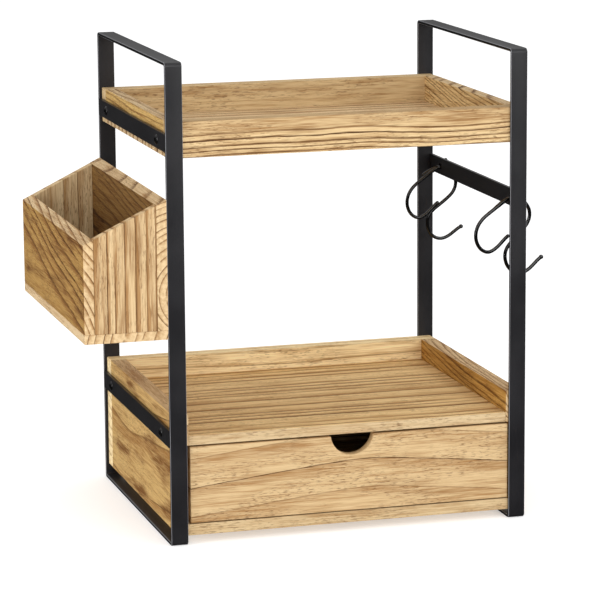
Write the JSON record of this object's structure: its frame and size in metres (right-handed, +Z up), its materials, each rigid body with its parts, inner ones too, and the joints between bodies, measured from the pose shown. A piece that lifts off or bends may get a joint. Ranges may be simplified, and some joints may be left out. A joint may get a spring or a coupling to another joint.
{
  "type": "microwave stand with drawer",
  "caption": "Two-tier worktop stand: black flat-bar side frames hold a wooden tray above an open shelf with a drawer, a slanted box outside the left frame and wire hooks on the right.",
  "frame": {"origin": "on the floor, under the middle of the overall width and depth (the overall width runs from the outer face of the box to the outermost hook)", "axes": "+X across the stand to the side with the hooks, +Y to the back, +Z up; the drawer opens towards -Y"},
  "size_m": [0.6594, 0.4, 0.65],
  "materials": {
    "black_steel": "satin black powder coat",
    "black_bolt": "satin black",
    "light_wood": "scorched and brushed light softwood, matt",
    "thin_board": "plain thin plywood, matt",
    "hook_wire": "glossy black lacquer"
  },
  "bodies": {
    "base": {"left_frame_loop": "black_steel", "right_frame_loop": "black_steel", "left_tray_bar": "black_steel", "right_tray_bar": "black_steel", "left_shelf_bar": "black_steel", "right_shelf_bar": "black_steel", "left_box_bar": "black_steel", "right_hook_bar": "black_steel", "left_tray_bar_bolts": "black_bolt", "right_tray_bar_bolts": "black_bolt", "left_shelf_bar_bolts": "black_bolt", "right_shelf_bar_bolts": "black_bolt", "box_bolts": "black_bolt", "tray_floor": "light_wood", "tray_front_board": "light_wood", "tray_back_board": "light_wood", "tray_left_board": "light_wood", "tray_right_board": "light_wood", "case_back": "light_wood", "case_left_panel": "light_wood", "case_right_panel": "light_wood", "shelf_board": "light_wood", "case_floor": "light_wood", "drawer_stops": "light_wood", "box_bottom": "light_wood", "box_outer_wall": "light_wood", "box_inner_wall": "light_wood", "box_front_wall": "light_wood", "box_back_wall": "light_wood"},
    "drawer": {"drawer_front": "light_wood", "drawer_left_side": "light_wood", "drawer_right_side": "light_wood", "drawer_back": "light_wood", "drawer_bottom": "thin_board"},
    "inner_hook_rear": {"inner_hook_rear": "hook_wire"},
    "inner_hook_front": {"inner_hook_front": "hook_wire"},
    "s_hook_rear": {"s_hook_rear": "hook_wire"},
    "s_hook_front": {"s_hook_front": "hook_wire"}
  },
  "joints": [
    {"name": "drawer_slide", "type": "slide", "parent": "base", "child": "drawer", "axis": [0, -1, 0], "range_m": [0, 0.27]},
    {"name": "inner_hook_rear_swing", "type": "hinge", "parent": "base", "child": "inner_hook_rear", "pos_m": [0.28305, 0.1472, 0.4393], "axis": [0, 1, 0], "range_deg": [0, 15]},
    {"name": "inner_hook_front_swing", "type": "hinge", "parent": "base", "child": "inner_hook_front", "pos_m": [0.28305, -0.1528, 0.4393], "axis": [0, 1, 0], "range_deg": [0, 15]},
    {"name": "s_hook_rear_swing", "type": "hinge", "parent": "base", "child": "s_hook_rear", "pos_m": [0.28305, 0.1528, 0.4393], "axis": [0, 1, 0], "range_deg": [-8, 8]},
    {"name": "s_hook_front_swing", "type": "hinge", "parent": "base", "child": "s_hook_front", "pos_m": [0.28305, -0.1472, 0.4393], "axis": [0, 1, 0], "range_deg": [-1, 12]}
  ]
}
